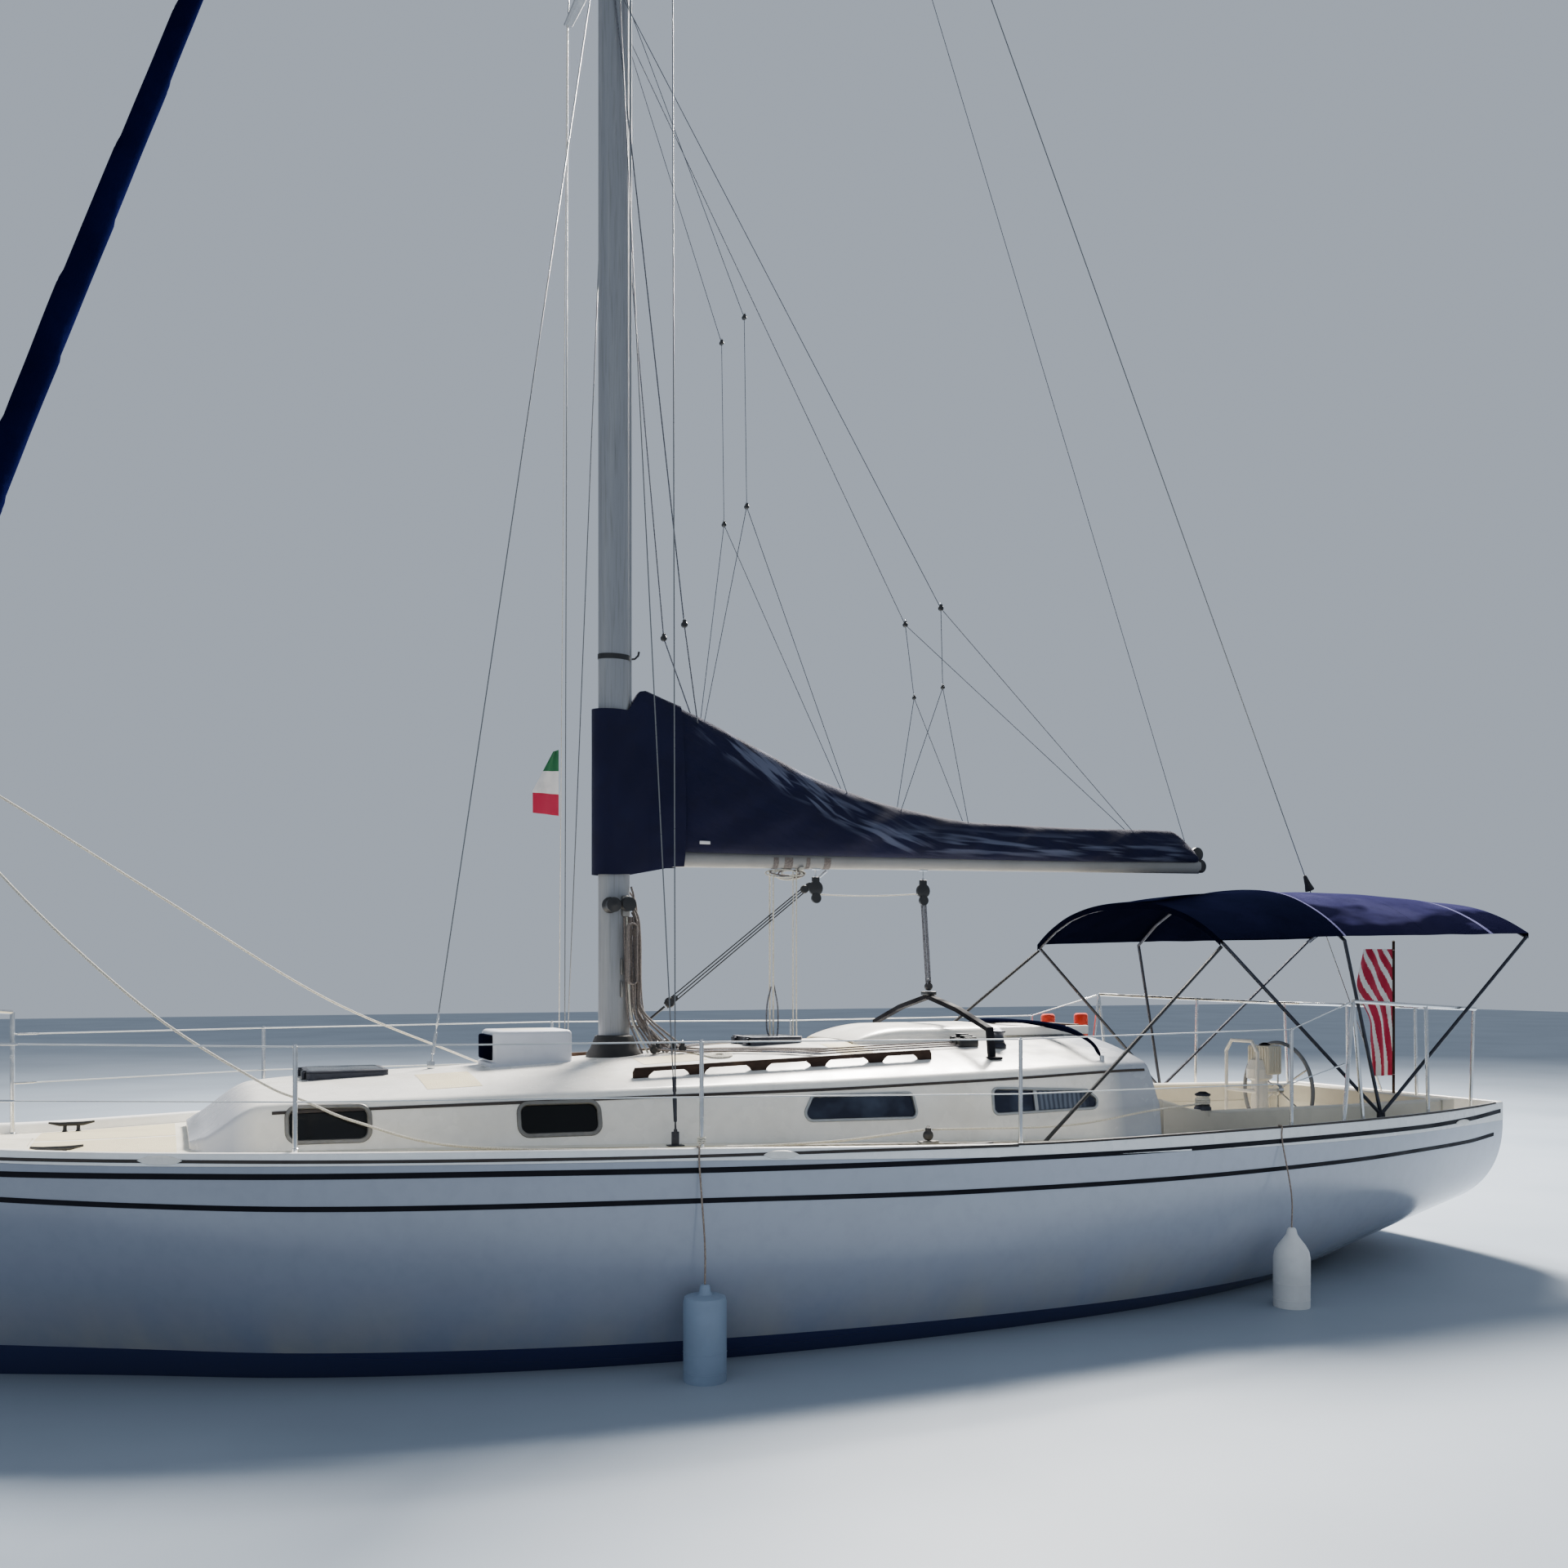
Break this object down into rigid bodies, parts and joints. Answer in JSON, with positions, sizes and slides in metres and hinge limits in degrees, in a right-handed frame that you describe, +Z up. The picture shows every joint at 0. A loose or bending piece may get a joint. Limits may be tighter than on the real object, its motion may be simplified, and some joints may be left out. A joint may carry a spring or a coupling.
{
  "type": "sailing yacht",
  "caption": "Masthead sloop afloat with its sails stowed: hull with fin keel and rudder, cabin, cockpit under a bimini, full rig, and boom, wheel, rudder and lids that move.",
  "frame": {"origin": "on the centreline, amidships, at the waterline", "axes": "+X forward to the bow, +Y to port, +Z up"},
  "size_m": [11.302, 3.5478, 16.25],
  "materials": {
    "gelcoat": "gloss",
    "deck": "non-slip",
    "bottom_paint": "matt",
    "spar": "anodised",
    "boom_white": "satin",
    "stainless": "polished",
    "canvas": "woven acrylic",
    "teak": "oiled",
    "smoked": "tinted",
    "black": "satin",
    "bronze": "cast",
    "iron": "painted",
    "fender": "smooth",
    "red": "woven",
    "flag": "striped",
    "rope": "braided"
  },
  "bodies": {
    "root": {"hull": "gelcoat", "keel": "bottom_paint", "propeller_shaft": "stainless", "engine": "iron", "toe_rail": "gelcoat", "coachroof": "gelcoat", "window_port_1": "smoked", "window_port_2": "smoked", "window_port_3": "smoked", "window_port_4": "smoked", "window_starboard_1": "smoked", "window_starboard_2": "smoked", "window_starboard_3": "smoked", "window_starboard_4": "smoked", "companionway_boards": "teak", "sea_hood": "gelcoat", "cockpit_coaming": "gelcoat", "pedestal": "gelcoat", "ventilation_box": "gelcoat", "handrail_port": "teak", "handrail_starboard": "teak", "traveller_arch": "black", "mast": "spar", "spreaders": "spar", "shrouds_port": "stainless", "shrouds_starboard": "stainless", "forestay": "stainless", "furled_headsail": "canvas", "backstay": "stainless", "baby_stay": "stainless", "mast_cover": "canvas", "pulpit": "stainless", "pushpit": "stainless", "lifelines_port": "stainless", "lifelines_starboard": "stainless", "stem_fitting": "stainless", "bimini_canopy_fore": "canvas", "bimini_canopy_aft": "canvas", "bimini_frame": "stainless", "bimini_strut_port": "black", "bimini_strut_starboard": "black", "fender_midships": "fender", "fender_quarter": "fender", "flag_staff": "teak", "ensign": "flag", "flag_halyard": "rope", "courtesy_flag": "flag", "horseshoe_buoy": "red"},
    "boom": {"boom": "boom_white", "boom_cover": "canvas", "vang": "black"},
    "rudder": {"rudder": "bottom_paint"},
    "propeller": {"propeller": "bronze"},
    "steering_wheel": {"steering_wheel": "stainless"},
    "slide": {"companionway_slide": "gelcoat"},
    "foredeck_hatch": {"foredeck_hatch_lid": "smoked"},
    "midships_hatch": {"midships_hatch_lid": "smoked"},
    "anchor_locker": {"anchor_locker_lid": "deck"},
    "locker_port": {"locker_lid_port": "deck"},
    "locker_starboard": {"locker_lid_starboard": "deck"}
  },
  "joints": [
    {"name": "boom_swing", "type": "hinge", "parent": "root", "child": "boom", "pos_m": [0.78, 0, 2.8], "axis": [0, 0, 1], "range_deg": [-75, 75]},
    {"name": "rudder_turn", "type": "hinge", "parent": "root", "child": "rudder", "pos_m": [-4.75, 0, 0], "axis": [0, 0, 1], "range_deg": [-35, 35]},
    {"name": "wheel_turn", "type": "hinge", "parent": "root", "child": "steering_wheel", "pos_m": [-4.33, 0, 1.17], "axis": [1, 0, 0], "range_deg": [-270, 270]},
    {"name": "propeller_spin", "type": "hinge", "parent": "root", "child": "propeller", "pos_m": [-3.76, 0, -0.545], "axis": [-0.9868, 0, -0.162], "continuous": true},
    {"name": "companionway_slide_run", "type": "slide", "parent": "root", "child": "slide", "axis": [1, 0, 0], "range_m": [0, 0.6]},
    {"name": "foredeck_hatch_hinge", "type": "hinge", "parent": "root", "child": "foredeck_hatch", "pos_m": [2.842, 0, 1.52], "axis": [0, 1, 0], "range_deg": [0, 90]},
    {"name": "midships_hatch_hinge", "type": "hinge", "parent": "root", "child": "midships_hatch", "pos_m": [0.14, 0, 1.658], "axis": [0, 1, 0], "range_deg": [0, 90]},
    {"name": "anchor_locker_hinge", "type": "hinge", "parent": "root", "child": "anchor_locker", "pos_m": [4.822, 0, 1.217], "axis": [0, 1, 0], "range_deg": [0, 90]},
    {"name": "locker_hinge_port", "type": "hinge", "parent": "root", "child": "locker_port", "pos_m": [-3.45, 0.903, 0.8], "axis": [-1, 0, 0], "range_deg": [0, 85]},
    {"name": "locker_hinge_starboard", "type": "hinge", "parent": "root", "child": "locker_starboard", "pos_m": [-3.45, -0.903, 0.8], "axis": [1, 0, 0], "range_deg": [0, 85]}
  ],
  "couplings": [
    {"joint": "wheel_turn", "follows": "rudder_turn", "ratio": 7.7}
  ]
}
